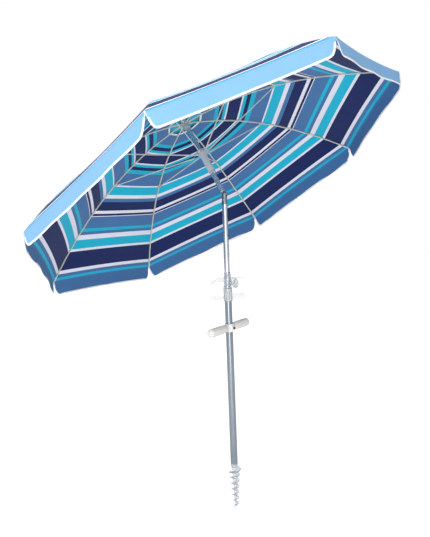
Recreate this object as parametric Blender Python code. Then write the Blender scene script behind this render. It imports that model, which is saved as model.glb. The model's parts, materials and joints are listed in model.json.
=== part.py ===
"""Beach umbrella: a sand auger and lower pole, a telescoping upper pole with a tilt joint, and a folding,
eight-rib canopy. Metres, +Z up along the lower pole, origin where the lower pole meets the sand. The open
canopy leans towards -X. Every rib, stretcher, bracket and canopy petal is numbered anticlockwise."""
import math

import bmesh
import bpy
from mathutils import Matrix, Vector

# ---- clearances ----
GAP = 0.0004            # between pieces that touch
PIN_PLAY = 0.0004       # around wires and pins

# ---- pole ----
LOWER_R, LOWER_WALL, LOWER_TOP = 0.016, 0.0014, 0.782
MIDDLE_R, MIDDLE_WALL, MIDDLE_BOTTOM = 0.0118, 0.001, 0.405
UPPER_R, UPPER_WALL, UPPER_BOTTOM = 0.011, 0.001, 0.0195
PIVOT_Z = 1.207
TILT = math.radians(31.2)

# ---- canopy (heights are above the tilt pivot, along the upper pole) ----
RIBS = 8
RIB_STEP = 2 * math.pi / RIBS
APEX = 0.385
RIM_R, RIM_DROP = 0.89, 0.320
VENT_R = 0.085
CLOTH = 0.001
SAG = 0.010             # how far the cloth dips between two ribs
FLAP = 0.072
FLAP_CORNER = 0.034
FLAP_WEIGHT = 0.7       # how much the flap hangs straight down, against following the canopy's axis
FLAP_FLARE = math.radians(15)
SEAM_GAP = 0.0008
VENT_CAP_R, VENT_CAP_TOP, VENT_CAP_DROP = 0.155, 0.3985, 0.014

# ---- ribs and stretchers ----
RIB_SIDE = 0.0044
RIB_BELOW = 0.0042      # from the cloth down to the rib's centre line, square to the cloth
RIB_END_R = 0.884
HUB_PIN_R = 0.018
BRACKET_R = 0.42
PIN_BELOW_RIB = 0.0068
STRETCHER_THICK, STRETCHER_HIGH = 0.0026, 0.005
EYE_R, EYE_HOLE = 0.0032, 0.0013
WIRE_R = 0.0009
RING_PIN_R, RING_Z = 0.040, 0.214

# ---- runner ----
RUNNER_BORE = 0.0123
RUNNER_TOP, RUNNER_BOTTOM = 0.0150, -0.1060     # from the pin ring
RUNNER_SLOT = 0.026

# ---- collar, hooks, handle, anchor ----
COLLAR_BOTTOM, COLLAR_TOP = 0.733, 0.862
SKIRT_R, SKIRT_TOP, SLEEVE_R = 0.0177, 0.788, 0.0152
KNOB_Z, KNOB_R, KNOB_FLUTES = 0.813, 0.020, 12
KNOB_START, KNOB_END = 0.0300, 0.0460
HOOK_AZIMUTH = math.radians(38)
HOOK_REACH, HOOK_THICK, HANGER_R = 0.078, 0.0036, 0.0197
HANDLE_Z, HANDLE_HALF, GRIP_R = 0.615, 0.155, 0.0155
AUGER_TIP, AUGER_PITCH, AUGER_TURNS = -0.2066, 0.0258, 7.0
BUTTON_Z = 0.0366

ROUND = 28


# ---------------------------------------------------------------- materials
def material(name, colour, roughness=0.5, metallic=0.0):
    mat = bpy.data.materials.new(name)
    mat.use_nodes = True
    shader = mat.node_tree.nodes["Principled BSDF"]
    shader.inputs["Base Color"].default_value = (*colour, 1.0)
    shader.inputs["Roughness"].default_value = roughness
    shader.inputs["Metallic"].default_value = metallic
    return mat


# ---------------------------------------------------------------- mesh helpers
def mesh_object(name, bm, mat, parent=None, smooth=35):
    bmesh.ops.remove_doubles(bm, verts=bm.verts, dist=1e-6)
    bmesh.ops.recalc_face_normals(bm, faces=bm.faces)
    mesh = bpy.data.meshes.new(name)
    bm.to_mesh(mesh)
    bm.free()
    if smooth:
        mesh.shade_smooth()
        mesh.set_sharp_from_angle(angle=math.radians(smooth))
    mesh.materials.append(mat)
    return place(name, mesh, parent)


def place(name, mesh, parent=None, at=(0, 0, 0), turn=(0, 0, 0)):
    obj = bpy.data.objects.new(name, mesh)
    bpy.context.scene.collection.objects.link(obj)
    obj.parent = parent
    obj.location = at
    obj.rotation_euler = turn
    return obj


def empty(name, parent=None, at=(0, 0, 0), turn=(0, 0, 0)):
    return place(name, None, parent, at, turn)


def add_lathe(bm, outline, steps=ROUND, start=0.0, sweep=2 * math.pi):
    """Turns a closed outline of (radius, height) points round Z. A part turn gets flat ends."""
    full = abs(sweep - 2 * math.pi) < 1e-9
    columns = []
    for i in range(steps if full else steps + 1):
        angle = start + sweep * i / steps
        columns.append([bm.verts.new((r * math.cos(angle), r * math.sin(angle), z)) for r, z in outline])
    count = len(outline)
    for i in range(steps):
        here, there = columns[i], columns[(i + 1) % len(columns)]
        for j in range(count):
            k = (j + 1) % count
            if outline[j][0] < 1e-9 and outline[k][0] < 1e-9:
                continue
            if outline[j][0] < 1e-9:
                bm.faces.new((here[j], here[k], there[k]))
            elif outline[k][0] < 1e-9:
                bm.faces.new((here[j], here[k], there[j]))
            else:
                bm.faces.new((here[j], here[k], there[k], there[j]))
    if not full:
        bm.faces.new(columns[0])
        bm.faces.new(columns[-1])


def lathe(name, outline, mat, parent=None, steps=ROUND, **part):
    bm = bmesh.new()
    add_lathe(bm, outline, steps, **part)
    return mesh_object(name, bm, mat, parent)


def arc(centre, radius, start, end, steps):
    """Points on an arc in the XZ plane, both ends included, angles in degrees from +X towards +Z."""
    angles = [math.radians(start + (end - start) * i / steps) for i in range(steps + 1)]
    return [(centre[0] + radius * math.cos(a), centre[1] + radius * math.sin(a)) for a in angles]


def add_plate(bm, outline, thick, holes=()):
    """A flat plate in the XZ plane, centred on Y, with round holes given as (centre, radius)."""
    loops = [outline] + [arc(centre, radius, 0, 315, 7) for centre, radius in holes]
    edges = []
    for loop in loops:
        verts = [bm.verts.new((x, -thick / 2, z)) for x, z in loop]
        edges += [bm.edges.new((v, verts[(i + 1) % len(verts)])) for i, v in enumerate(verts)]
    filled = bmesh.ops.triangle_fill(bm, use_beauty=True, edges=edges)
    faces = [f for f in filled["geom"] if isinstance(f, bmesh.types.BMFace)]
    grown = bmesh.ops.extrude_face_region(bm, geom=faces)
    moved = [v for v in grown["geom"] if isinstance(v, bmesh.types.BMVert)]
    bmesh.ops.translate(bm, verts=moved, vec=(0, thick, 0))
    bmesh.ops.dissolve_limit(bm, angle_limit=0.001, verts=bm.verts, edges=bm.edges)


def plate(name, outline, thick, mat, parent=None, holes=(), smooth=35):
    bm = bmesh.new()
    add_plate(bm, outline, thick, holes)
    return mesh_object(name, bm, mat, parent, smooth)


def box_mesh(low, high):
    bm = bmesh.new()
    size = Vector(high) - Vector(low)
    middle = (Vector(high) + Vector(low)) / 2
    bmesh.ops.create_cube(bm, size=1.0, matrix=Matrix.Translation(middle) @ Matrix.Diagonal((*size, 1.0)))
    mesh = bpy.data.meshes.new("box")
    bm.to_mesh(mesh)
    bm.free()
    return mesh


def rod_mesh(start, end, radius, steps=16):
    """A straight round rod between two points."""
    bm = bmesh.new()
    start, end = Vector(start), Vector(end)
    along = end - start
    turn = along.to_track_quat("Z", "Y").to_matrix().to_4x4()
    bmesh.ops.create_cone(bm, cap_ends=True, segments=steps, radius1=radius, radius2=radius,
                          depth=along.length, matrix=Matrix.Translation((start + end) / 2) @ turn)
    mesh = bpy.data.meshes.new("rod")
    bm.to_mesh(mesh)
    bm.free()
    return mesh


def combine(obj, tools, operation):
    """Joins or cuts a closed mesh with others, which are left as hidden guides."""
    for number, mesh in enumerate(tools):
        guide = place(f"{obj.name}_{operation.lower()}_{number}", mesh, obj.parent)
        guide.matrix_basis = obj.matrix_basis
        guide.hide_render = True
        guide.hide_viewport = True
        guide.display_type = "WIRE"
        step = obj.modifiers.new(f"{operation.title()} {number}", "BOOLEAN")
        step.operation = operation
        step.object = guide
        step.solver = "EXACT"
    return obj


def baked(obj):
    """The object's mesh as its modifiers leave it, for copies to share."""
    bpy.context.view_layer.update()
    graph = bpy.context.evaluated_depsgraph_get()
    mesh = bpy.data.meshes.new_from_object(obj.evaluated_get(graph))
    mesh.shade_smooth()
    mesh.set_sharp_from_angle(angle=math.radians(35))
    return mesh


def discard(*objects):
    for obj in objects:
        bpy.data.objects.remove(obj)


def tube_outline(outer, wall, bottom, top):
    return [(outer - wall, bottom), (outer, bottom), (outer, top), (outer - wall, top)]


# ---------------------------------------------------------------- anchor
def auger_core_radius(z):
    share = min(1.0, max(0.0, (-0.012 - z) / (-0.012 - AUGER_TIP)))
    return 0.0115 - 0.0075 * share


def auger_flight_radius(turn):
    """The first turn is the widest; the rest narrow towards the tip."""
    if turn < 1.0:
        return 0.030 - 0.006 * max(0.0, turn - 0.55) / 0.45
    return 0.024 - 0.0105 * (turn - 1.0) / (AUGER_TURNS - 1.0)


def auger_flight_mesh():
    bm = bmesh.new()
    steps_per_turn = 12
    steps = int(AUGER_TURNS * steps_per_turn)
    sections = []
    for i in range(steps + 1):
        turn = i / steps_per_turn
        angle = 2 * math.pi * turn + math.radians(200)
        z = -0.016 - AUGER_PITCH * turn
        outer, inner = auger_flight_radius(turn), auger_core_radius(z) - 0.002
        ring = ((inner, -0.0022), (outer, -0.0009), (outer, 0.0009), (inner, 0.0022))
        sections.append([bm.verts.new((r * math.cos(angle), -r * math.sin(angle), z + dz)) for r, dz in ring])
    for here, there in zip(sections, sections[1:]):
        for j in range(4):
            k = (j + 1) % 4
            bm.faces.new((here[j], here[k], there[k], there[j]))
    bm.faces.new(sections[0])
    bm.faces.new(sections[-1])
    bmesh.ops.recalc_face_normals(bm, faces=bm.faces)
    mesh = bpy.data.meshes.new("auger_flight")
    bm.to_mesh(mesh)
    bm.free()
    return mesh


def build_anchor(clear_plastic, steel):
    bore = LOWER_R - LOWER_WALL - GAP
    foot = AUGER_TIP + 0.03
    outline = [(0.0, AUGER_TIP), (0.0022, AUGER_TIP + 0.004), (auger_core_radius(foot), foot),
               (auger_core_radius(-0.012), -0.012), (0.0150, -0.010), (0.0155, -GAP), (bore, -GAP),
               (bore, 0.055), (0.012, 0.060), (0.0, 0.060)]
    auger = lathe("sand_auger", outline, clear_plastic, steps=20)
    combine(auger, [auger_flight_mesh()], "UNION")
    pocket = rod_mesh((0, -0.0022, BUTTON_Z), (0, -0.030, BUTTON_Z), 0.0034 + PIN_PLAY)
    combine(auger, [pocket], "DIFFERENCE")
    button = [(0.0, 0.0060), (0.0034, 0.0060), (0.0034, 0.0168), (0.0024, 0.0178), (0.0, 0.0181)]
    snap = lathe("anchor_button", button, steel, steps=16)
    snap.location = (0, 0, BUTTON_Z)
    snap.rotation_euler = (math.pi / 2, 0, 0)


# ---------------------------------------------------------------- lower pole and handle
def build_lower_pole(steel):
    tube = lathe("lower_tube", tube_outline(LOWER_R, LOWER_WALL, 0.0, LOWER_TOP), steel)
    hole = rod_mesh((0, -0.010, BUTTON_Z), (0, -0.020, BUTTON_Z), 0.0034 + PIN_PLAY)
    combine(tube, [hole], "DIFFERENCE")


def build_handle(plastic, grip, dark):
    inner = LOWER_R + GAP
    sleeve_r, half = 0.0202, 0.017
    outline = [(inner, -half), (sleeve_r - 0.001, -half), (sleeve_r, -half + 0.001), (sleeve_r, half - 0.001),
               (sleeve_r - 0.001, half), (inner, half)]
    sleeve = lathe("handle_sleeve", outline, plastic)
    sleeve.location = (0, 0, HANDLE_Z)
    arm_start, arm_r = inner + 0.0012, 0.0085
    tip = HANDLE_HALF - 0.006
    arms = [rod_mesh((0, side * arm_start, 0), (0, side * tip, 0), arm_r, 20) for side in (-1, 1)]
    boss = rod_mesh((arm_start, 0, 0), (0.0245, 0, 0), 0.0075, 20)
    combine(sleeve, [*arms, boss], "UNION")
    screw_hole = rod_mesh((0.010, 0, 0), (0.030, 0, 0), 0.0032 + PIN_PLAY)
    combine(sleeve, [screw_hole], "DIFFERENCE")
    start, end = sleeve_r + GAP, HANDLE_HALF
    rounding = 0.010
    corner = [(GRIP_R - rounding + rounding * math.cos(a), end - rounding + rounding * math.sin(a))
              for a in [math.pi / 2 * i / 4 for i in range(5)]]
    outline = [(arm_r + GAP, start), (0.0135, start), (GRIP_R, start + 0.012), *corner, (0.0, end),
               (0.0, tip + GAP), (arm_r + GAP, tip + GAP)]
    for name, turn in (("handle_grip_front", math.pi / 2), ("handle_grip_back", -math.pi / 2)):
        piece = lathe(name, outline, grip, steps=20)
        piece.location = (0, 0, HANDLE_Z)
        piece.rotation_euler = (turn, 0, 0)
    screw = [(0.0, 0.0166), (0.0032, 0.0166), (0.0032, 0.0250), (0.0052, 0.0250), (0.0052, 0.0285),
             (0.0044, 0.0293), (0.0022, 0.0293), (0.0022, 0.0270), (0.0, 0.0270)]
    bolt = lathe("handle_screw", screw, dark, steps=16)
    bolt.location = (0, 0, HANDLE_Z)
    bolt.rotation_euler = (0, math.pi / 2, 0)


# ---------------------------------------------------------------- collar and hooks
def build_collar(clear_plastic, white_plastic, steel):
    bore, skirt, seat = MIDDLE_R + GAP, LOWER_R + GAP, LOWER_TOP + GAP
    outline = [(skirt, COLLAR_BOTTOM), (HANGER_R - 0.0007, COLLAR_BOTTOM), (HANGER_R, COLLAR_BOTTOM + 0.0007),
               (HANGER_R, COLLAR_BOTTOM + 0.003), (SKIRT_R, COLLAR_BOTTOM + 0.003), (SKIRT_R, SKIRT_TOP),
               (SLEEVE_R, SKIRT_TOP), (SLEEVE_R, 0.8430), (0.0146, 0.8436), (0.0146, 0.8464),
               (SLEEVE_R, 0.8470), (SLEEVE_R, 0.8510), (0.0146, 0.8516), (0.0146, 0.8600),
               (0.0138, COLLAR_TOP), (bore, COLLAR_TOP), (bore, seat), (skirt, seat)]
    collar = lathe("coupling_collar", outline, clear_plastic)
    combine(collar, [rod_mesh((0.0134, 0, KNOB_Z), (0.0285, 0, KNOB_Z), 0.0080, 20)], "UNION")
    stud_hole = rod_mesh((0.006, 0, KNOB_Z), (0.035, 0, KNOB_Z), 0.0030 + PIN_PLAY)
    combine(collar, [stud_hole], "DIFFERENCE")

    stud = [(0.0, MIDDLE_R + GAP), (0.0030, MIDDLE_R + GAP + 0.0008), (0.0030, KNOB_END - 0.006),
            (0.0, KNOB_END - 0.006)]
    piece = lathe("clamp_stud", stud, steel, steps=16)
    piece.location = (0, 0, KNOB_Z)
    piece.rotation_euler = (0, math.pi / 2, 0)
    bm = bmesh.new()
    sides = KNOB_FLUTES * 3
    rims = []
    for depth, share in ((KNOB_START, 0.45), (KNOB_START + 0.004, 0.93), (KNOB_START + 0.006, 1.0),
                         (KNOB_END - 0.0015, 1.0), (KNOB_END, 0.93)):
        ring = []
        for i in range(sides):
            angle = 2 * math.pi * i / sides
            flute = 0.0014 * (1 - math.cos(KNOB_FLUTES * angle)) / 2 if share > 0.5 else 0.0
            r = share * KNOB_R - flute
            ring.append(bm.verts.new((r * math.cos(angle), r * math.sin(angle), depth)))
        rims.append(ring)
    for low, high in zip(rims, rims[1:]):
        for i in range(sides):
            j = (i + 1) % sides
            bm.faces.new((low[i], low[j], high[j], high[i]))
    bm.faces.new(rims[0])
    bm.faces.new(rims[-1])
    knob = mesh_object("clamp_knob", bm, white_plastic)
    knob.location = (0, 0, KNOB_Z)
    knob.rotation_euler = (0, math.pi / 2, 0)
    combine(knob, [rod_mesh((0, 0, 0.020), (0, 0, KNOB_END - 0.0055), 0.0030 + PIN_PLAY)], "DIFFERENCE")


def low_hook(bottom, high):
    """A straight paddle with a round end, near the foot of the hanger."""
    root, tip_r = HANGER_R - 0.0009, high / 2
    return [(root, bottom), *arc((HOOK_REACH - tip_r, bottom + tip_r), tip_r, -90, 90, 8), (root, bottom + high)]


def high_hook(high, droop):
    """A hook on a stalk above the sleeve, curving down towards its tip."""
    root, steps = HANGER_R - 0.0037, 8
    start, reach = HANGER_R, HOOK_REACH
    top, bottom = [], []
    for i in range(steps + 1):
        share = i / steps
        x = start + (reach - 0.004 - start) * share
        z = 0.8385 - droop * share ** 2
        size = high * (1 - 0.45 * share)
        top.append((x, z))
        bottom.append((x, z - size))
    nose = [(reach, top[-1][1] - 0.003), (reach, bottom[-1][1] + 0.002)]
    return [(root, SKIRT_TOP + 0.0010), (HANGER_R, SKIRT_TOP + 0.0010), *bottom, *nose[::-1], *top[::-1],
            (root, 0.8385)]


def build_hanger(white_plastic):
    """A sleeve that turns on the collar and carries two hooks on each side."""
    inner, foot, head = SKIRT_R + GAP, COLLAR_BOTTOM + 0.003 + GAP, SKIRT_TOP + GAP
    neck = SLEEVE_R + GAP
    outline = [(inner, foot), (HANGER_R, foot), (HANGER_R, head + 0.0015), (HANGER_R - 0.0008, head + 0.0023),
               (neck, head + 0.0023), (neck, head), (inner, head)]
    hanger = lathe("hook_hanger", outline, white_plastic)
    hooks = []
    for turn, shapes in ((HOOK_AZIMUTH, (low_hook(0.7405, 0.0270), high_hook(0.009, 0.003))),
                         (HOOK_AZIMUTH + math.pi, (low_hook(0.7405, 0.0160), high_hook(0.021, 0.020)))):
        for shape in shapes:
            mesh = plate_block(shape, HOOK_THICK)
            mesh.transform(Matrix.Rotation(turn, 4, "Z"))
            hooks.append(mesh)
    combine(hanger, hooks, "UNION")


# ---------------------------------------------------------------- telescoping pole and tilt joint
def build_middle_pole(steel, dark_steel, plastic):
    plug_top = MIDDLE_BOTTOM - GAP
    inner = MIDDLE_R - MIDDLE_WALL - GAP
    outline = [(0.0, plug_top - 0.030), (0.0130, plug_top - 0.030), (0.0141, plug_top - 0.028),
               (0.0141, plug_top - 0.001), (0.0130, plug_top), (inner, plug_top), (inner, plug_top + 0.018),
               (0.0, plug_top + 0.018)]
    lathe("guide_plug", outline, plastic, steps=24)
    fork_bottom = PIVOT_Z - 0.045
    lathe("middle_tube", tube_outline(MIDDLE_R, MIDDLE_WALL, MIDDLE_BOTTOM, fork_bottom - GAP), steel)

    head = arc((0, 0), MIDDLE_R, 0, 78.75, 7)
    outline = [(0.0, -0.070), (inner, -0.070), (inner, -0.045), (MIDDLE_R, -0.045), *head, (0.0, MIDDLE_R)]
    pivot = empty("tilt_pivot", at=(0, 0, PIVOT_Z))
    fork = lathe("tilt_fork", outline, dark_steel, pivot)
    slot = box_mesh((-0.020, -0.0043, -0.0125), (0.020, 0.0043, 0.020))
    pin_hole = rod_mesh((0, -0.020, 0), (0, 0.020, 0), 0.0022 + PIN_PLAY)
    button_hole = rod_mesh((0, -0.020, -0.026), (0, -0.0010, -0.026), 0.0030 + PIN_PLAY)
    combine(fork, [slot, pin_hole, button_hole], "DIFFERENCE")
    pin = lathe("tilt_pin", [(0.0, -0.0114), (0.0016, -0.0114), (0.0022, -0.0108), (0.0022, 0.0108),
                             (0.0016, 0.0114), (0.0, 0.0114)], steel, pivot, steps=16)
    pin.rotation_euler = (math.pi / 2, 0, 0)
    button = lathe("tilt_button", [(0.0, 0.0045), (0.0030, 0.0045), (0.0030, 0.0108), (0.0020, 0.0116),
                                   (0.0, 0.0116)], steel, pivot, steps=16)
    button.location = (0, 0, -0.026)
    button.rotation_euler = (math.pi / 2, 0, 0)


def plate_block(outline, thick):
    bm = bmesh.new()
    add_plate(bm, outline, thick)
    bmesh.ops.recalc_face_normals(bm, faces=bm.faces)
    mesh = bpy.data.meshes.new("block")
    bm.to_mesh(mesh)
    bm.free()
    return mesh


def build_upper_pole(upper, steel, dark_steel):
    """The tongue that turns in the fork, and the tube it carries."""
    reach = 0.0090
    outline = [*arc((0, 0), reach, 180, 360, 12), (reach, 0.018), (-reach, 0.018)]
    tongue = plate("tilt_tongue", outline, 0.0080, dark_steel, upper)
    inner = UPPER_R - UPPER_WALL - GAP
    bm = bmesh.new()
    add_lathe(bm, [(0.0, 0.0145), (UPPER_R, 0.0145), (UPPER_R, UPPER_BOTTOM - GAP),
                   (inner, UPPER_BOTTOM - GAP), (inner, 0.050), (0.0, 0.050)])
    bmesh.ops.recalc_face_normals(bm, faces=bm.faces)
    plug = bpy.data.meshes.new("plug")
    bm.to_mesh(plug)
    bm.free()
    combine(tongue, [plug], "UNION")
    combine(tongue, [rod_mesh((0, -0.010, 0), (0, 0.010, 0), 0.0022 + PIN_PLAY)], "DIFFERENCE")
    tube = lathe("upper_tube", tube_outline(UPPER_R, UPPER_WALL, UPPER_BOTTOM, APEX - 0.013), steel, upper)
    hole = rod_mesh((0, 0.005, 0.098), (0, 0.015, 0.098), 0.0028 + PIN_PLAY)
    combine(tube, [hole], "DIFFERENCE")
    catch = lathe("runner_catch", [(0.0, 0.0035), (0.0028, 0.0035), (0.0028, 0.0100), (0.0018, 0.0109),
                                   (0.0, 0.0109)], steel, upper, steps=12)
    catch.location = (0, 0, 0.098)
    catch.rotation_euler = (-math.pi / 2, 0, 0)


# ---------------------------------------------------------------- runner and crown
def notch_meshes(radius, width, depth, half_high):
    """Radial slots for the eyes of the eight ribs or stretchers."""
    slots = []
    for k in range(RIBS):
        mesh = box_mesh((radius - depth, -width / 2, -half_high), (radius + 0.020, width / 2, half_high))
        mesh.transform(Matrix.Rotation(rib_azimuth(k), 4, "Z"))
        slots.append(mesh)
    return slots


def rib_azimuth(k):
    return RIB_STEP * (k + 0.5)


def build_runner(upper, white_plastic):
    frame = empty("runner_frame", upper, at=(0, 0, RING_Z))
    flange, neck = RING_PIN_R + 0.0036, 0.0190
    outline = [(RUNNER_BORE, RUNNER_BOTTOM), (0.0150, RUNNER_BOTTOM), (0.0160, RUNNER_BOTTOM + 0.002),
               (0.0160, RUNNER_BOTTOM + 0.008), (0.0150, RUNNER_BOTTOM + 0.010), (0.0185, -0.0120),
               (0.0250, -0.0042), (flange, -0.0036), (flange, 0.0036), (0.0250, 0.0042), (neck, 0.0070),
               (neck, RUNNER_TOP - 0.001), (neck - 0.001, RUNNER_TOP), (RUNNER_BORE, RUNNER_TOP)]
    runner = lathe("runner", outline, white_plastic, frame)
    notches = notch_meshes(RING_PIN_R, STRETCHER_THICK + 2 * GAP, 0.0042, 0.010)
    slot = box_mesh((-0.060, -RUNNER_SLOT / 2, RUNNER_BOTTOM - 0.01), (0.0, RUNNER_SLOT / 2, RUNNER_TOP + 0.01))
    flange_gap = box_mesh((-0.060, -0.0160, -0.0100), (-0.0250, 0.0160, 0.0100))
    combine(runner, [*notches, slot, flange_gap], "DIFFERENCE")


def torus_mesh(radius, thick, steps):
    bm = bmesh.new()
    add_lathe(bm, [(radius + thick * math.cos(a), thick * math.sin(a))
                   for a in [math.pi / 3 * i for i in range(6)]], steps)
    bmesh.ops.recalc_face_normals(bm, faces=bm.faces)
    mesh = bpy.data.meshes.new("torus")
    bm.to_mesh(mesh)
    bm.free()
    return mesh


def cloth_height(r):
    return APEX - RIM_DROP * (r / RIM_R) ** 2


def cloth_slope(r):
    """How steeply the cloth falls at a radius."""
    return 2 * RIM_DROP * r / RIM_R ** 2


def stations_out():
    """Radii from the vent to the rim where both ribs and cloth have their corners, one at the brackets."""
    inner = [VENT_R + (BRACKET_R - VENT_R) * i / 4 for i in range(4)]
    return inner + [BRACKET_R + (RIM_R - BRACKET_R) * i / 5 for i in range(6)]


def rib_height(r):
    return cloth_height(r) - RIB_BELOW * math.hypot(1.0, cloth_slope(r))


def build_crown(upper, grey_plastic, white_plastic, steel):
    frame = empty("crown_frame", upper, at=(0, 0, rib_height(HUB_PIN_R)))
    outline = [(UPPER_R + GAP, -0.0260), (0.0150, -0.0260), (0.0150, -0.0060), (0.0222, -0.0042),
               (0.0222, 0.0036), (0.0205, 0.0042), (UPPER_R + GAP, 0.0042)]
    hub = lathe("crown_hub", outline, grey_plastic, frame)
    notches = notch_meshes(HUB_PIN_R, RIB_SIDE + 2 * GAP, 0.0040, 0.012)
    combine(hub, [*notches, torus_mesh(HUB_PIN_R, WIRE_R + PIN_PLAY, 24)], "DIFFERENCE")
    lathe("crown_wire", [(HUB_PIN_R + WIRE_R * math.cos(a), WIRE_R * math.sin(a))
                         for a in [math.pi / 3 * i for i in range(6)]], steel, frame, steps=24)
    inner = UPPER_R - UPPER_WALL - GAP
    outline = [(0.0, -0.0220), (inner, -0.0220), (inner, 0.0046), (0.0130, 0.0046), (0.0130, 0.0200),
               (0.0170, 0.0215), (0.0170, 0.0245), (0.0110, 0.0310), (0.0, 0.0330)]
    lathe("crown_cap", outline, white_plastic, frame)


# ---------------------------------------------------------------- ribs, stretchers, brackets
def rib_outline():
    """A bowed bar in the rib's own plane, from the eye at the hub to the tip, about the hub pin."""
    start = (HUB_PIN_R, rib_height(HUB_PIN_R))
    stations = [0.026, 0.054, *stations_out()[:-1], RIB_END_R]
    half = RIB_SIDE / 2
    top, bottom = [], []
    for r in stations:
        slope = -cloth_slope(r)
        size = math.hypot(1.0, slope)
        x, z = r - start[0], rib_height(r) - start[1]
        top.append((x - half * slope / size, z + half / size))
        bottom.append((x + half * slope / size, z - half / size))
    eye = arc((0, 0), EYE_R, 45, 315, 6)
    return eye + bottom + top[::-1]


def bracket_mesh(mat):
    """A clip round the rib, its cheeks carrying the stretcher's pin. Origin at the rib's centre line."""
    half_wide = RIB_SIDE / 2 + GAP + 0.0012
    outline = [*arc((0, -PIN_BELOW_RIB), 0.0034, 180, 360, 6), (0.0085, -0.0034), (0.0085, 0.0016),
               (-0.0085, 0.0016), (-0.0085, -0.0034)]
    clip = plate("bracket_master", outline, 2 * half_wide, mat)
    side = RIB_SIDE / 2 + GAP
    rib_slot = box_mesh((-0.020, -side, -side), (0.020, side, 0.010))
    floor = -side - 0.0010
    eye_slot = box_mesh((-0.020, -STRETCHER_THICK / 2 - GAP, -0.030), (0.020, STRETCHER_THICK / 2 + GAP, floor))
    combine(clip, [rib_slot, eye_slot], "DIFFERENCE")
    pin = rod_mesh((0, -half_wide + 0.0004, -PIN_BELOW_RIB), (0, half_wide - 0.0004, -PIN_BELOW_RIB), WIRE_R, 10)
    combine(clip, [pin], "UNION")
    mesh = baked(clip)
    discard(*[m.object for m in clip.modifiers], clip)
    return mesh


def stretcher_outline(span):
    half = STRETCHER_HIGH / 2
    near, far = (0.006, 0.0), (span.length - 0.006, 0.0)
    return [(near[0], half), *arc((0, 0), EYE_R, 50, 310, 6), (near[0], -half), (far[0], -half * 0.8),
            *arc((span.length, 0), EYE_R * 0.94, -130, 130, 6), (far[0], half * 0.8)]


def build_ribs(upper, rib_steel, bracket_steel):
    hub = Vector((HUB_PIN_R, rib_height(HUB_PIN_R)))
    slope = math.atan(cloth_slope(BRACKET_R))
    clip_at = Vector((BRACKET_R, rib_height(BRACKET_R)))
    pin = clip_at - PIN_BELOW_RIB * Vector((math.sin(slope), math.cos(slope)))
    ring = Vector((RING_PIN_R, RING_Z))
    span = pin - ring
    rib = plate("rib_master", rib_outline(), RIB_SIDE, rib_steel, holes=[((0, 0), EYE_HOLE)])
    bar = plate("stretcher_master", stretcher_outline(span), STRETCHER_THICK, rib_steel,
                holes=[((0, 0), EYE_HOLE), ((span.length, 0), EYE_HOLE)])
    clip = bracket_mesh(bracket_steel)
    rib_mesh, bar_mesh = rib.data, bar.data
    discard(rib, bar)
    lean = -math.atan2(span.y, span.x)
    for k in range(RIBS):
        plane = empty(f"rib_plane_{k + 1}", upper, turn=(0, 0, rib_azimuth(k)))
        place(f"rib_{k + 1}", rib_mesh, plane, at=(hub.x, 0, hub.y))
        place(f"bracket_{k + 1}", clip, plane, at=(clip_at.x, 0, clip_at.y), turn=(0, slope, 0))
        place(f"stretcher_{k + 1}", bar_mesh, plane, at=(ring.x, 0, ring.y), turn=(0, lean, 0))


# ---------------------------------------------------------------- canopy
def upper_matrix():
    return Matrix.Translation((0, 0, PIVOT_Z)) @ Matrix.Rotation(-TILT, 4, "Y")


def gore_point(share, r, side_azimuth, mid_azimuth):
    """A point of the cloth: share 0 on the rib, 1 on the middle of the gore, in the upper pole's frame."""
    rib = Vector((r * math.cos(side_azimuth), r * math.sin(side_azimuth), cloth_height(r)))
    across = Vector((-math.sin(mid_azimuth), math.cos(mid_azimuth), 0.0))
    middle = rib - across * rib.dot(across)
    point = rib.lerp(middle, share)
    span = (r - VENT_R) / (RIM_R - VENT_R)
    point.z -= SAG * (1 - (1 - share) ** 2) * math.sin(math.pi * min(1.0, span * 0.6 + 0.2))
    return point


def flap_direction(mid_azimuth):
    """Which way the valance hangs on one gore, in the upper pole's frame."""
    outward = Vector((math.cos(mid_azimuth), math.sin(mid_azimuth), 0.0))
    along = outward * math.sin(FLAP_FLARE) - Vector((0, 0, 1)) * math.cos(FLAP_FLARE)
    down = upper_matrix().to_3x3().inverted() @ Vector((0, 0, -1))
    return (along * (1 - FLAP_WEIGHT) + down * FLAP_WEIGHT).normalized()


def half_petal(bm, k, side, ridge):
    """Half of a petal, from its rib to the middle of one gore, with its share of the valance."""
    columns, flap_rows = 3, 2
    rows = len(ridge)
    azimuth = rib_azimuth(k)
    mid = azimuth + side * RIB_STEP / 2
    across = Vector((-math.sin(mid), math.cos(mid), 0.0))
    grid = [ridge]
    for c in range(1, columns + 1):
        share = c / columns
        column = []
        for r in stations_out():
            point = gore_point(share, r, azimuth, mid)
            if c == columns:
                point -= across * side * SEAM_GAP / 2
            column.append(bm.verts.new(point))
        grid.append(column)
    for left, right in zip(grid, grid[1:]):
        for i in range(rows - 1):
            bm.faces.new((left[i], right[i], right[i + 1], left[i + 1]))
    hang = flap_direction(mid)
    before = [ridge[-1]]
    for column in grid[1:]:
        top = column[-1]
        along = min(1.0, (top.co - ridge[-1].co).length / FLAP_CORNER)
        length = FLAP * math.sqrt(1 - (1 - along) ** 2)
        strip = [top] + [bm.verts.new(top.co + hang * length * i / flap_rows) for i in range(1, flap_rows + 1)]
        if len(before) == 1:
            for a, b in zip(strip, strip[1:]):
                bm.faces.new((before[0], a, b))
        else:
            for (a, b), (c, d) in zip(zip(before, before[1:]), zip(strip, strip[1:])):
                bm.faces.new((a, c, d, b))
        before = strip


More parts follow.
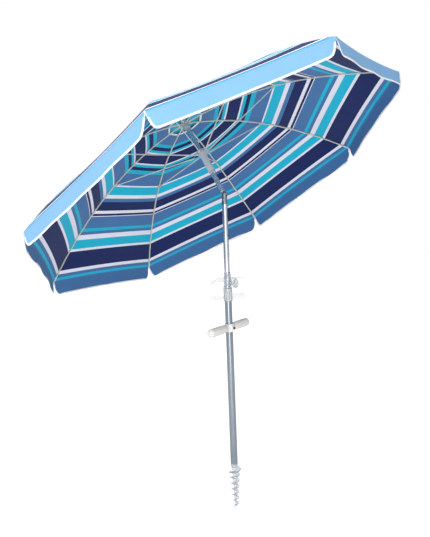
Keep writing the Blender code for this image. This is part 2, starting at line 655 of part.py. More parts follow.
def build_canopy(upper, cloths):
    for k in range(RIBS):
        bm = bmesh.new()
        azimuth = rib_azimuth(k)
        ridge = [bm.verts.new((r * math.cos(azimuth), r * math.sin(azimuth), cloth_height(r)))
                 for r in stations_out()]
        half_petal(bm, k, 1, ridge)
        half_petal(bm, k, -1, ridge)
        petal = mesh_object(f"canopy_{k + 1}", bm, cloths[k % 2], upper)
        facing = sum(f.normal.z * f.area for f in petal.data.polygons)
        if facing < 0:
            petal.data.flip_normals()
        thicken = petal.modifiers.new("Thickness", "SOLIDIFY")
        thicken.thickness = CLOTH
        thicken.offset = 0.0


def build_vent_cap(upper, cloth):
    """The small octagonal sheet over the vent, held at the crown."""
    bm = bmesh.new()
    rings = []
    inner = 0.0148
    for i in range(5):
        r = inner + (VENT_CAP_R - inner) * i / 4
        z = VENT_CAP_TOP - VENT_CAP_DROP * (r / VENT_CAP_R) ** 2
        rings.append([bm.verts.new((r * math.cos(rib_azimuth(k)), r * math.sin(rib_azimuth(k)), z))
                      for k in range(RIBS)])
    for low, high in zip(rings, rings[1:]):
        for k in range(RIBS):
            j = (k + 1) % RIBS
            bm.faces.new((low[k], high[k], high[j], low[j]))
    cap = mesh_object("vent_cap", bm, cloth, upper)
    if sum(f.normal.z * f.area for f in cap.data.polygons) < 0:
        cap.data.flip_normals()
    thicken = cap.modifiers.new("Thickness", "SOLIDIFY")
    thicken.thickness = CLOTH
    thicken.offset = 0.0


# ---------------------------------------------------------------- the umbrella
def build():
    for obj in list(bpy.data.objects):
        bpy.data.objects.remove(obj, do_unlink=True)
    steel = material("silver_tube", (0.62, 0.65, 0.69), 0.30, 1.0)
    dark_steel = material("dark_steel", (0.20, 0.21, 0.23), 0.35, 1.0)
    rib_steel = material("painted_rib", (0.50, 0.50, 0.46), 0.45)
    white_plastic = material("white_plastic", (0.88, 0.89, 0.91), 0.35)
    clear_plastic = material("frosted_plastic", (0.80, 0.84, 0.88), 0.25)
    grey_plastic = material("grey_plastic", (0.45, 0.47, 0.48), 0.45)
    bar_plastic = material("handle_plastic", (0.74, 0.73, 0.70), 0.5)
    grip = material("handle_grip", (0.78, 0.77, 0.74), 0.6)
    black = material("black_screw", (0.03, 0.03, 0.03), 0.4, 0.6)
    cloths = [material("canopy_navy", (0.02, 0.03, 0.11), 0.8), material("canopy_blue", (0.08, 0.18, 0.40), 0.8)]
    turquoise = material("vent_turquoise", (0.02, 0.42, 0.62), 0.8)

    build_anchor(clear_plastic, steel)
    build_lower_pole(steel)
    build_handle(bar_plastic, grip, black)
    build_collar(clear_plastic, white_plastic, steel)
    build_hanger(white_plastic)
    build_middle_pole(steel, dark_steel, white_plastic)
    upper = empty("upper_frame", at=(0, 0, PIVOT_Z), turn=(0, -TILT, 0))
    build_upper_pole(upper, steel, dark_steel)
    build_runner(upper, white_plastic)
    build_crown(upper, grey_plastic, white_plastic, steel)
    build_ribs(upper, rib_steel, rib_steel)
    build_canopy(upper, cloths)
    build_vent_cap(upper, turquoise)


build()
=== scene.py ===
"""Beach umbrella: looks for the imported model. The canopy with its valance, hems and vent cap, the rib ends,
the runner, the grips and the auger are built here. The other pieces are the CAD solids with finished
materials. Metres, in the model's own frame."""
import json
import math
import random

import bmesh
import bpy
from mathutils import Matrix, Vector


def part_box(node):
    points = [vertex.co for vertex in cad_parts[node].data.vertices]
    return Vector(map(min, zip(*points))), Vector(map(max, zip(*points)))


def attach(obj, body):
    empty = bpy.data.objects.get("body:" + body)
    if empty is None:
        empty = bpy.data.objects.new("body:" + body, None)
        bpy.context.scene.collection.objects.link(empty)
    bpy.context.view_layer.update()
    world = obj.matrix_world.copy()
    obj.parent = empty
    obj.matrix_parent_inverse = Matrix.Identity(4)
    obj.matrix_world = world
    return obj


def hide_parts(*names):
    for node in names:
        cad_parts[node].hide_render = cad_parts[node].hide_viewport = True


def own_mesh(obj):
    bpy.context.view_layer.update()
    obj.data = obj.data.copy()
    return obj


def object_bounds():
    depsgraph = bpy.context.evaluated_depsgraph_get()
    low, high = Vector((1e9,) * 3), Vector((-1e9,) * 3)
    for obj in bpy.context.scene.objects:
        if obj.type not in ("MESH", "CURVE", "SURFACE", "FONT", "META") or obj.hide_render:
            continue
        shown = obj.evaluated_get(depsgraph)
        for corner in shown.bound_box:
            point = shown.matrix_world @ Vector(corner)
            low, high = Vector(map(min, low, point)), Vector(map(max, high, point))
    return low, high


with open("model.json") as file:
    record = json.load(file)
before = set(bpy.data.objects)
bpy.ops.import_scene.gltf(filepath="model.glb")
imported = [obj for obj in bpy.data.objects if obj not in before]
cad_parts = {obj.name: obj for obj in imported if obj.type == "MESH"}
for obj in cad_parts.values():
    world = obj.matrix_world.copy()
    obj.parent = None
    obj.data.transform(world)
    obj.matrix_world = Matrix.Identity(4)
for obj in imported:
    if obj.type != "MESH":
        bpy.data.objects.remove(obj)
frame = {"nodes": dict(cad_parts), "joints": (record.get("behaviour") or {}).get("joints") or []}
cad_box = [list(corner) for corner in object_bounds()]
joints = {joint["name"]: joint for joint in frame["joints"]}

# ---- the upper pole's frame, from the joints: UPHILL, ACROSS and AXIS are its x, y and z ----
PIVOT = Vector(joints["tilt"]["pos_m"])
AXIS = -Vector(joints["runner_slide"]["axis"]).normalized()
ACROSS = Vector((0.0, 1.0, 0.0))
UPHILL = ACROSS.cross(AXIS).normalized()
RIBS = 8
HALF_GORE = math.pi / RIBS
UP = Vector((0.0, 0.0, 1.0))        # along the upper pole, written in its own frame

# ---- canopy (distances along and from the upper pole) ----
APEX, RIM_R, RIM_DROP, VENT_R = 0.385, 0.89, 0.320, 0.083
CLOTH = 0.0007
OVERLAP = 0.0006        # how far a petal reaches past the middle of its gore
SAG, RIM_BOW = 0.010, 0.013     # how far a gore's middle sags, and bows in at the rim
FLAP, FLAP_CORNER = 0.068, 0.032        # the valance's depth, and how far its corners round
FLAP_WEIGHT, FLAP_FLARE = 0.7, math.radians(15)     # how much it hangs plumb, and how far it flares
FLAP_RIPPLE = 0.0022
ROWS, FLAP_ROWS, COLUMNS = 44, 8, 18
VENT_CAP_R, VENT_CAP_TOP, VENT_CAP_DROP, VENT_CAP_HOLE = 0.153, 0.3990, 0.013, 0.0150
VENT_CAP_BOW, VENT_CAP_SAG = 0.004, 0.0015
WAVE, WAVE_RATE = 0.0007, 95        # faint cross waves in the stretched cloth: height, and radians per metre
HEM, BINDING = (0.0065, 0.0016), (0.0075, 0.0018)       # width and thickness

# ---- rib ends, auger, runner and grips ----
RIB_CAP = (     # distance back from the rib's end, and half the cap's width there
    (0.032, 0.0033), (0.031, 0.0038), (0.012, 0.0041), (0.004, 0.0039), (0.0006, 0.0026))
RIB_CAP_BELOW = 0.0046      # from the cloth down to the cap's middle
AUGER_TOP, AUGER_TIP, AUGER_PITCH, AUGER_TURNS = -0.012, -0.2066, 0.0258, 7.0
FLIGHT_START = math.radians(200)
RING_Z, LUG_END = 0.214, 0.0425     # the stretchers' pins on the runner, and how far its lugs reach
GRIP_R, GRIP_BORE = 0.0185, 0.0093

# ---- stage, light and camera ----
KEY_POWER, FILL_POWER = 78.0, 26.0
FLOOR_R, FLOOR_GAP = 14.0, 0.0005
FLOOR_LIFT = 0.42       # the floor is lit from below too, like a light table
WALL_BRIGHT, WALL_DARK = 0.85, 0.02     # the studio's walls, and the dark flag that edges the tubes
DARK_SIDE, DARK_FROM, DARK_TO = (0.26, 0.965, 0.0), 0.55, 0.90      # where the flag is, and its soft edge
CAMERA_PLACE = (1.43929, -2.23485, 1.13612)
CAMERA_AHEAD, CAMERA_DOWN = (-0.55595, 0.82976, -0.04909), (-0.00419, -0.06186, -0.99808)
LENS, LENS_SHIFT = 40.54, -0.0531

# ---- cloth colours ----
NAVY, TURQUOISE = (0.006, 0.017, 0.100), (0.010, 0.430, 0.620)
BLUE, WHITE = (0.058, 0.165, 0.370), (0.76, 0.76, 0.84)
STRIPES = (     # from the rim towards the vent, in millimetres
    (TURQUOISE, 14.0), (BLUE, 16.5), (WHITE, 13.5), (NAVY, 83.0), (WHITE, 11.5), (TURQUOISE, 44.0),
    (WHITE, 23.0), (BLUE, 13.5), (TURQUOISE, 16.0), (BLUE, 60.0), (WHITE, 5.0), (NAVY, 9.0),
    (WHITE, 17.5), (NAVY, 44.0), (WHITE, 3.0), (BLUE, 17.5), (WHITE, 19.5), (TURQUOISE, 47.0),
    (WHITE, 9.5), (BLUE, 69.5), (TURQUOISE, 22.0), (NAVY, 22.5), (TURQUOISE, 14.0), (WHITE, 8.0),
    (NAVY, 62.0), (WHITE, 10.0), (TURQUOISE, 14.0), (NAVY, 23.5), (TURQUOISE, 21.0), (BLUE, 75.0))


def from_upper(x, y, s):
    """A point given in the upper pole's frame, in the model's frame."""
    return PIVOT + UPHILL * x + ACROSS * y + AXIS * s


def direction_from_upper(v):
    """A direction given in the upper pole's frame, in the model's frame."""
    return UPHILL * v.x + ACROSS * v.y + AXIS * v.z


def radial(azimuth):
    """Away from the pole, in the upper pole's frame."""
    return Vector((math.cos(azimuth), math.sin(azimuth), 0.0))


def sideways(azimuth):
    """Round the pole, in the upper pole's frame."""
    return Vector((-math.sin(azimuth), math.cos(azimuth), 0.0))


# ---------------------------------------------------------------- node helpers
class Shader:
    """A short way to write a node material."""

    COLOURS = ("Base Color", "Emission Color")

    def __init__(self, name):
        self.material = bpy.data.materials.new(name)
        self.material.use_nodes = True
        self.tree = self.material.node_tree
        self.surface = self.tree.nodes["Principled BSDF"]

    def node(self, kind, inputs=None, **settings):
        made = self.tree.nodes.new(kind)
        for key, value in settings.items():
            setattr(made, key, value)
        for key, value in (inputs or {}).items():
            self.feed(made.inputs[key], value)
        return made

    def feed(self, socket, value):
        if isinstance(value, bpy.types.NodeSocket):
            self.tree.links.new(value, socket)
        else:
            socket.default_value = value

    def set(self, **values):
        for key, value in values.items():
            name = key.replace("_", " ")
            if name in self.COLOURS and not isinstance(value, bpy.types.NodeSocket):
                value = (*value, 1.0)
            self.feed(self.surface.inputs[name], value)
        return self

    def math(self, operation, a, b=0.0, c=0.0):
        made = self.node("ShaderNodeMath", operation=operation)
        for i, value in enumerate((a, b, c)):
            if i < len(made.inputs):
                self.feed(made.inputs[i], value)
        return made.outputs[0]

    def mix(self, factor, a, b, blend="MIX"):
        made = self.node("ShaderNodeMix", data_type="RGBA", blend_type=blend)
        for socket, value in ((made.inputs[0], factor), (made.inputs[6], a), (made.inputs[7], b)):
            if isinstance(value, tuple) and len(value) == 3:
                value = (*value, 1.0)
            self.feed(socket, value)
        return made.outputs[2]

    def noise(self, vector, scale, detail=3.0, rough=0.5):
        inputs = {"Vector": vector, "Scale": scale, "Detail": detail, "Roughness": rough}
        return self.node("ShaderNodeTexNoise", inputs).outputs["Fac"]

    def spread(self, value, low, high):
        """Maps 0..1 to low..high."""
        made = self.node("ShaderNodeMapRange", {"Value": value, "To Min": low, "To Max": high})
        return made.outputs["Result"]

    def bump(self, height, distance, strength=1.0, onto=None):
        made = self.node("ShaderNodeBump", {"Height": height, "Distance": distance, "Strength": strength})
        if onto is not None:
            self.feed(made.inputs["Normal"], onto)
        return made.outputs["Normal"]

    def rest_position(self):
        return self.node("ShaderNodeTexCoord").outputs["Object"]

    def uv(self):
        made = self.node("ShaderNodeUVMap", uv_map="cloth")
        parts = self.node("ShaderNodeSeparateXYZ", {"Vector": made.outputs["UV"]})
        return made.outputs["UV"], parts.outputs["X"], parts.outputs["Y"]


def weave(shader, across, along, pitch=0.0011):
    """Plain weave: threads over and under each other."""
    turns = 2 * math.pi / pitch
    warp = shader.math("SINE", shader.math("MULTIPLY", across, turns))
    weft = shader.math("SINE", shader.math("MULTIPLY", along, turns))
    return shader.math("MULTIPLY", warp, weft)


def stitch_mask(shader, across, along, lines, pitch=0.0042, width=0.0005, filled=0.68):
    """1 on the stitches of the lines at those distances from the middle of a seam."""
    distance = shader.math("ABSOLUTE", across)
    total = None
    for line in lines:
        apart = shader.math("ABSOLUTE", shader.math("SUBTRACT", distance, line))
        near = shader.math("LESS_THAN", apart, width)
        total = near if total is None else shader.math("MAXIMUM", total, near)
    beat = shader.math("FRACT", shader.math("DIVIDE", along, pitch))
    return shader.math("MULTIPLY", total, shader.math("LESS_THAN", beat, filled))


def striped_cloth(name, lift, wash, flap_colour):
    """The canopy's cloth. The stripes follow each vertex's station, its distance from the crown on a rib.
    lift and wash brighten them, and flap_colour is the valance's. The outside's brightened copy is painted
    light for the canopy's lit outside."""
    s = Shader(name)
    station = s.node("ShaderNodeAttribute", attribute_name="station").outputs["Fac"]
    ramp = s.node("ShaderNodeValToRGB", {"Fac": station})
    ramp.color_ramp.interpolation = "CONSTANT"
    edge = RIM_R
    stops = [(edge, flap_colour)]       # from the rim inward, and each colour starts at its inner edge
    for colour, width in STRIPES:
        edge -= width / 1000
        lifted = tuple(min(1.0, c * lift + wash) for c in colour)
        stops.append((max(0.0, edge), lifted))
    elements = ramp.color_ramp.elements
    elements[0].position, elements[0].color = 0.0, (*stops[-1][1], 1.0)
    elements[1].position, elements[1].color = stops[0][0], (*stops[0][1], 1.0)
    for position, colour in stops[1:-1]:
        made = elements.new(position)
        made.color = (*colour, 1.0)
    uv, across, along = s.uv()
    blotch = s.noise(s.rest_position(), 14.0, 4.0, 0.6)
    thread = s.noise(uv, 900.0, 2.0)
    colour = s.mix(0.10, ramp.outputs["Color"], s.spread(blotch, 0.55, 1.35), "MULTIPLY")
    colour = s.mix(0.16, colour, s.spread(thread, 0.35, 1.5), "MULTIPLY")
    stitches = stitch_mask(s, across, along, (0.0045,))
    colour = s.mix(s.math("MULTIPLY", stitches, 0.55), colour, (0.75, 0.78, 0.82))
    seam = s.math("LESS_THAN", s.math("ABSOLUTE", across), 0.006)
    colour = s.mix(s.math("MULTIPLY", seam, 0.12), colour, (0.02, 0.03, 0.06))
    creases = s.noise(s.rest_position(), 9.0, 2.0, 0.4)
    normal = s.bump(creases, 0.012, 0.30)
    normal = s.bump(seam, 0.0006, 0.6, normal)
    normal = s.bump(s.math("SUBTRACT", weave(s, across, along), stitches), 0.00018, 0.35, normal)
    s.set(Base_Color=colour, Roughness=0.86, Normal=normal, Sheen_Weight=0.05, Sheen_Roughness=0.5,
          Specular_IOR_Level=0.25)
    return s.material


def plain_cloth(name, colour, stitch_lines=()):
    s = Shader(name)
    uv, across, along = s.uv()
    thread = s.noise(uv, 900.0, 2.0)
    blotch = s.noise(s.rest_position(), 18.0)
    shade = s.mix(0.25, colour, s.spread(thread, 0.45, 1.4), "MULTIPLY")
    shade = s.mix(0.15, shade, s.spread(blotch, 0.6, 1.3), "MULTIPLY")
    height = weave(s, across, along)
    if stitch_lines:
        stitches = stitch_mask(s, across, along, stitch_lines)
        shade = s.mix(s.math("MULTIPLY", stitches, 0.30), shade, (0.35, 0.38, 0.45))
        height = s.math("SUBTRACT", height, stitches)
    normal = s.bump(height, 0.00018, 0.4)
    s.set(Base_Color=shade, Roughness=0.85, Normal=normal, Sheen_Weight=0.15, Specular_IOR_Level=0.25)
    return s.material


def metal(name, colour, roughness, brushed, metallic=1.0, wear=0.25):
    """Drawn or painted metal: fine marks, small scuffs, uneven roughness. A small last number in brushed
    draws the marks out along the part."""
    s = Shader(name)
    place = s.node("ShaderNodeMapping", {"Vector": s.rest_position(), "Scale": brushed}, vector_type="POINT")
    streak = s.noise(place.outputs["Vector"], 60.0, 4.0, 0.6)
    patch = s.noise(s.rest_position(), 22.0, 4.0, 0.6)
    shade = s.mix(wear, colour, s.spread(streak, 0.45, 1.45), "MULTIPLY")
    shade = s.mix(wear * 0.6, shade, s.spread(patch, 0.5, 1.4), "MULTIPLY")
    rough = s.math("ADD", s.spread(patch, roughness * 0.75, roughness * 1.25), s.spread(streak, -0.03, 0.03))
    s.set(Base_Color=shade, Metallic=metallic, Roughness=rough, Normal=s.bump(streak, 0.0002, 0.15))
    return s.material


def plastic(name, colour, roughness=0.35, grain=0.00025, transmission=0.0):
    s = Shader(name)
    fine = s.noise(s.rest_position(), 900.0, 2.0)
    cloud = s.noise(s.rest_position(), 30.0, 4.0, 0.6)
    shade = s.mix(0.18, colour, s.spread(cloud, 0.7, 1.25), "MULTIPLY")
    s.set(Base_Color=shade, Roughness=s.spread(cloud, roughness * 0.8, roughness * 1.25),
          Normal=s.bump(fine, grain, 0.35), Transmission_Weight=transmission, IOR=1.46)
    return s.material


# ---------------------------------------------------------------- mesh helpers
def finish_mesh(name, bm, materials, body, smooth=50):
    mesh = bpy.data.meshes.new(name)
    bm.to_mesh(mesh)
    bm.free()
    mesh.shade_smooth()
    mesh.set_sharp_from_angle(angle=math.radians(smooth))
    obj = bpy.data.objects.new(name, mesh)
    bpy.context.scene.collection.objects.link(obj)
    for mat in materials:
        mesh.materials.append(mat)
    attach(obj, body)
    return obj


def bridge(bm, here, there, closed=True):
    """Quads between two rows of vertices."""
    faces = []
    for j in range(len(here) if closed else len(here) - 1):
        k = (j + 1) % len(here)
        faces.append(bm.faces.new((here[j], here[k], there[k], there[j])))
    return faces


def face_crown(bm):
    """Turns an open sheet's faces towards the crown, and returns its area."""
    bmesh.ops.recalc_face_normals(bm, faces=bm.faces)
    if sum(f.normal.dot(AXIS) * f.calc_area() for f in bm.faces) < 0:
        bmesh.ops.reverse_faces(bm, faces=bm.faces)
    return sum(f.calc_area() for f in bm.faces)


def thicken(obj, offset):
    solid = obj.modifiers.new("Thickness", "SOLIDIFY")
    solid.thickness = CLOTH
    solid.offset = offset
    return solid


def strip(name, path, inward, normals, width, thick, mat, body):
    """A flat binding folded over an edge: path is the edge, inward points into the cloth."""
    bm = bmesh.new()
    uv = bm.loops.layers.uv.new("cloth")
    rings, lengths, run = [], [], 0.0
    for i, point in enumerate(path):
        run += (point - path[i - 1]).length if i else 0.0
        lengths.append(run)
        out, n = -inward[i] * 0.0008, normals[i] * thick / 2
        deep = inward[i] * width
        middle = point + deep * 0.5
        profile = [point + out * 0.2 + n * 0.9, point + out, point + out * 0.2 - n * 0.9,
                   middle - n * 1.1, point + deep - n, point + deep + n, middle + n * 1.1]
        rings.append([bm.verts.new(p) for p in profile])
    depths = (0.0, 0.0, 0.0, width / 2, width, width, width / 2, 0.0)
    for i in range(len(rings) - 1):
        for j, face in enumerate(bridge(bm, rings[i], rings[i + 1])):
            corners = ((depths[j], lengths[i]), (depths[j + 1], lengths[i]),
                       (depths[j + 1], lengths[i + 1]), (depths[j], lengths[i + 1]))
            for loop, corner in zip(face.loops, corners):
                loop[uv].uv = corner
    bm.faces.new(rings[0])
    bm.faces.new(rings[-1][::-1])
    bmesh.ops.recalc_face_normals(bm, faces=bm.faces)
    return finish_mesh(name, bm, [mat], body)


def fold_with_rib(obj):
    """Gives the piece its own copy of its mesh."""
    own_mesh(obj)


# ---------------------------------------------------------------- canopy
def rib_azimuth(k):
    return 2 * HALF_GORE * (k - 0.5)


def cloth_height(r):
    return APEX - RIM_DROP * (r / RIM_R) ** 2


def gore_ease(share):
    """0 on the rib and 1 in the middle of the gore, where the cloth runs level."""
    return 1 - (1 - share) ** 2


def cloth_point(k, side, share, r):
    """A point of rib k's share of the cloth, in the upper pole's frame."""
    azimuth = rib_azimuth(k)
    ease = gore_ease(share)
    drawn = r - RIM_BOW * max(0.0, r - VENT_R) / (RIM_R - VENT_R) * ease
    rib = Vector((drawn * math.cos(azimuth), drawn * math.sin(azimuth), cloth_height(drawn)))
    across = sideways(azimuth + side * HALF_GORE)
    point = rib - across * (rib.dot(across) * share - side * OVERLAP * share ** 8)
    span = (r - VENT_R) / (RIM_R - VENT_R)
    point.z -= SAG * ease * math.sin(math.pi * min(1.0, span * 0.75 + 0.02))
    point.z -= WAVE * ease * math.sin(r * WAVE_RATE + side * 1.3 + k * 2.1) * math.sin(math.pi * share)
    return point


def gore_number(k, side):
    return (k if side > 0 else k - 1) % RIBS


def flap_hang(k, side):
    """Which way the valance of a gore hangs, in the upper pole's frame."""
    outward = radial(rib_azimuth(k) + side * HALF_GORE)
    along = outward * math.sin(FLAP_FLARE) - UP * math.cos(FLAP_FLARE)
    down = Vector((-UPHILL.z, -ACROSS.z, -AXIS.z))
    return (along * (1 - FLAP_WEIGHT) + down * FLAP_WEIGHT).normalized(), outward


def flap_length(distance):
    """The valance's depth at a distance from a rib: none at the rib, and full past the rounded corner."""
    along = min(1.0, distance / FLAP_CORNER)
    return FLAP * math.sqrt(max(0.0, 1 - (1 - along) ** 2)) ** 1.15


def flap_column(k, side, share, rows):
    """The valance below one point of the rim, as (point, distance below the rim)."""
    top = cloth_point(k, side, share, RIM_R)
    tip = cloth_point(k, side, 0.0, RIM_R)
    hang, outward = flap_hang(k, side)
    slope = 2 * RIM_DROP / RIM_R
    start = (outward - UP * slope).normalized()
    length = flap_length((top - tip).length)
    dice = random.Random(gore_number(k, side) + 11)
    waves, sway = dice.choice((2, 3, 4)), dice.uniform(0.6, 1.3)
    side_on = hang.cross(Vector((-outward.y, outward.x, 0.0))).normalized()
    column, point = [(top, 0.0)], top.copy()
    for i in range(1, rows + 1):
        below = length * i / rows
        turn = min(1.0, (below - length / rows / 2) / 0.010)
        heading = start.lerp(hang, turn * turn * (3 - 2 * turn)).normalized()
        point = point + heading * length / rows
        ripple = FLAP_RIPPLE * sway * math.cos(math.pi * waves * (1 - share)) * (below / FLAP) ** 1.4
        column.append((point + side_on * ripple, below))
    return column


def shares():
    """Shares of half a gore, closer together near the rib."""
    return [(j / COLUMNS) ** 1.55 for j in range(COLUMNS + 1)]


def across_petal():
    """(side, share) from one gore's middle, over the rib, to the next gore's."""
    return [(-1, share) for share in shares()[::-1]] + [(1, share) for share in shares()[1:]]


def petal(k, materials):
    """Rib k's share of the canopy: half of each neighbouring gore, with its half valances."""
    bm = bmesh.new()
    uv = bm.loops.layers.uv.new("cloth")
    station = bm.verts.layers.float.new("station")
    stations = [VENT_R + (RIM_R - VENT_R) * i / ROWS for i in range(ROWS + 1)]
    place = {}
    for side in (1, -1):
        before = None
        for share in shares():
            column = []
            for r in stations:
                vert = bm.verts.new(from_upper(*cloth_point(k, side, share, r)))
                vert[station] = r
                width = r * math.sin(HALF_GORE) * share
                place[vert] = (side * width, r)
                column.append(vert)
            rim = column[-1]
            for point, below in flap_column(k, side, share, FLAP_ROWS)[1:]:
                vert = bm.verts.new(from_upper(*point))
                vert[station] = RIM_R + 0.001 + below
                place[vert] = (place[rim][0], RIM_R + below)
                column.append(vert)
            if before:
                for a, b, c, d in zip(before, column, column[1:], before[1:]):
                    order = (a, d, c, b) if side > 0 else (a, b, c, d)
                    bm.faces.new(order)
            before = column
    for face in bm.faces:
        for loop in face.loops:
            loop[uv].uv = place[loop.vert]
    bmesh.ops.remove_doubles(bm, verts=bm.verts, dist=2e-5)
    bmesh.ops.dissolve_degenerate(bm, dist=1e-5, edges=bm.edges)
    area = face_crown(bm)
    obj = finish_mesh(f"canopy_cloth_{k}", bm, materials, f"rib_{k}", smooth=75)
    solid = thicken(obj, -1.0)
    solid.material_offset = 1
    solid.material_offset_rim = 1
    shade = obj.modifiers.new("Even shading", "WEIGHTED_NORMAL")
    shade.weight = 100
    shade.keep_sharp = True
    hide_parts(f"canopy_{k}")
    return obj, area


def rim_frames(k, rows):
    """The valance's free edge from one gore's middle to the next: points, inward directions and normals."""
    edge = []
    for side, share in across_petal():
        column = flap_column(k, side, share, rows)
        hang, outward = (direction_from_upper(v) for v in flap_hang(k, side))
        edge.append((from_upper(*column[-1][0]), hang, outward))
    points = [e[0] for e in edge]
    inward, normals = [], []
    for i, (point, hang, outward) in enumerate(edge):
        tangent = (points[min(i + 1, len(points) - 1)] - points[max(i - 1, 0)]).normalized()
        n = (outward - hang * outward.dot(hang)).normalized()
        turn = n.cross(tangent).normalized()
        if turn.dot(hang) > 0:
            turn = -turn
        inward.append(turn)
        normals.append(n)
    return points, inward, normals


def vent_frames(k):
    """The vent's edge, as rim_frames gives the valance's."""
    points, inward, normals = [], [], []
    for side, share in across_petal():
        here = from_upper(*cloth_point(k, side, share, VENT_R))
        out = from_upper(*cloth_point(k, side, share, VENT_R + 0.01))
        points.append(here)
        inward.append((out - here).normalized())
        normals.append(AXIS.copy())
    return points, inward, normals


def vent_cap_sector(k, mat):
    """One eighth of the small sheet over the vent."""
    bm = bmesh.new()
    uv = bm.loops.layers.uv.new("cloth")
    rows, columns = 10, 8
    azimuth = rib_azimuth(k)
    grid = []
    for i in range(rows + 1):
        r = VENT_CAP_HOLE + (VENT_CAP_R - VENT_CAP_HOLE) * i / rows
        line = []
        for j in range(-columns, columns + 1):
            share = abs(j) / columns
            side = 1 if j >= 0 else -1
            across = sideways(azimuth + side * HALF_GORE)
            ease = gore_ease(share)
            drawn = r - VENT_CAP_BOW * (r / VENT_CAP_R) * ease
            point = Vector((drawn * math.cos(azimuth), drawn * math.sin(azimuth), 0.0))
            point -= across * point.dot(across) * share
            point.z = VENT_CAP_TOP - VENT_CAP_DROP * (r / VENT_CAP_R) ** 2
            point.z -= VENT_CAP_SAG * ease * r / VENT_CAP_R
            line.append((bm.verts.new(from_upper(*point)), (side * share * r * 0.38, r)))
        grid.append(line)
    for low, high in zip(grid, grid[1:]):
        for j in range(2 * columns):
            corners = (low[j], high[j], high[j + 1], low[j + 1])
            face = bm.faces.new([c[0] for c in corners])
            for loop, corner in zip(face.loops, corners):
                loop[uv].uv = corner[1]
    area = face_crown(bm)
    obj = finish_mesh(f"vent_cap_cloth_{k}", bm, [mat], f"rib_{k}")
    thicken(obj, 0.0)
    return obj, area


def build_canopy():
    # The outside is a brighter copy of the inner cloth with a lighter valance: painted light on the canopy's
    # lit outside.
    outer = striped_cloth("canopy_outer", 1.25, 0.01, (0.20, 0.41, 0.68))
    inner = striped_cloth("canopy_inner", 1.0, 0.0, BLUE)
    hem = plain_cloth("hem_white", (0.84, 0.84, 0.88), (0.0048,))
    binding = plain_cloth("binding_white", (0.84, 0.84, 0.88), (0.0045,))
    turquoise = plain_cloth("vent_cap_turquoise", (0.013, 0.46, 0.64))
    for k in range(1, RIBS + 1):
        cloth, area = petal(k, [outer, inner])
        edge = strip(f"valance_hem_{k}", *rim_frames(k, FLAP_ROWS), *HEM, hem, f"rib_{k}")
        ring = strip(f"vent_binding_{k}", *vent_frames(k), *BINDING, binding, f"rib_{k}")
        cap, cap_area = vent_cap_sector(k, turquoise)
        if k == 1:
            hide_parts("vent_cap")
        for obj in (cloth, edge, ring, cap):
            fold_with_rib(obj)


# ---------------------------------------------------------------- rib ends
def build_rib_caps(mat):
    """A small moulded cap in the cloth's pocket at each rib's end."""
    steps = 16
    slope = math.atan(2 * RIM_DROP / RIM_R)
    for k in range(1, RIBS + 1):
        out = radial(rib_azimuth(k))
        along = out * math.cos(slope) - UP * math.sin(slope)
        up = out * math.sin(slope) + UP * math.cos(slope)
        tip = out * RIM_R + UP * cloth_height(RIM_R)
        side = up.cross(along)
        bm = bmesh.new()
        rings = []
        for back, size in RIB_CAP:
            centre = tip - along * back - up * RIB_CAP_BELOW
            ring = []
            for i in range(steps):
                a = 2 * math.pi * i / steps
                x = size * math.copysign(abs(math.cos(a)) ** 0.7, math.cos(a))
                y = size * 0.92 * math.copysign(abs(math.sin(a)) ** 0.7, math.sin(a))
                ring.append(bm.verts.new(from_upper(*(centre + side * x + up * y))))
            rings.append(ring)
        for low, high in zip(rings, rings[1:]):
            bridge(bm, low, high)
        bm.faces.new(rings[0])
        bm.faces.new(rings[-1])
        bmesh.ops.recalc_face_normals(bm, faces=bm.faces)
        cap = finish_mesh(f"rib_cap_{k}", bm, [mat], f"rib_{k}")


# ---------------------------------------------------------------- sand auger
def auger_core(z):
    """The core's radius at a height."""
    share = min(1.0, max(0.0, (AUGER_TOP - z) / (AUGER_TOP - AUGER_TIP)))
    return 0.0115 - 0.0075 * share


def auger_flight(turn):
    """The flight's radius: a wide first turn under the collar, then a slow taper."""
    if turn < 1.0:
        return 0.0295 - 0.0055 * max(0.0, turn - 0.55) / 0.45
    return 0.024 - 0.0105 * (turn - 1.0) / (AUGER_TURNS - 1.0)


def build_auger(mat):
    """A tapering core with a screw flight round it."""
    bm = bmesh.new()
    steps, per_turn = 40, 44
    top = [(0.0155, -0.0005), (0.0155, -0.0095), (0.0149, -0.0112)]
    body = [(auger_core(z), z) for z in [-0.0125 - 0.0015 * i for i in range(108)]]
    point = [(0.0030, AUGER_TIP + 0.0075), (0.0020, AUGER_TIP + 0.0032), (0.0, AUGER_TIP + 0.0005)]
    outline = top + body + point
    columns = [[bm.verts.new((r * math.cos(a), r * math.sin(a), z)) for r, z in outline]
               for a in [2 * math.pi * i / steps for i in range(steps)]]
    for i in range(steps):
        bridge(bm, columns[i], columns[(i + 1) % steps], closed=False)
    bm.faces.new([c[0] for c in columns])
    sections = []
    for i in range(int(AUGER_TURNS * per_turn) + 1):
        turn = i / per_turn
        angle = 2 * math.pi * turn + FLIGHT_START
        z = -0.016 - AUGER_PITCH * turn
        grow = min(1.0, i / 6, (AUGER_TURNS * per_turn - i) / 10 + 0.05)
        inner = auger_core(z) - 0.002
        outer = inner + (auger_flight(turn) - inner) * grow
        lower = ((inner, -0.0026), (outer * 0.6 + inner * 0.4, -0.0014), (outer - 0.0010, -0.0010),
                 (outer, -0.0003))
        ring = lower + tuple((r, -dz) for r, dz in reversed(lower))
        sections.append([bm.verts.new((r * math.cos(angle), -r * math.sin(angle), z + dz)) for r, dz in ring])
    for here, there in zip(sections, sections[1:]):
        bridge(bm, here, there)
    bm.faces.new(sections[0])
    bm.faces.new(sections[-1])
    bmesh.ops.remove_doubles(bm, verts=bm.verts, dist=1e-6)
    bmesh.ops.recalc_face_normals(bm, faces=bm.faces)
    auger = finish_mesh("auger_screw", bm, [mat], "base")
    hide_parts("sand_auger")


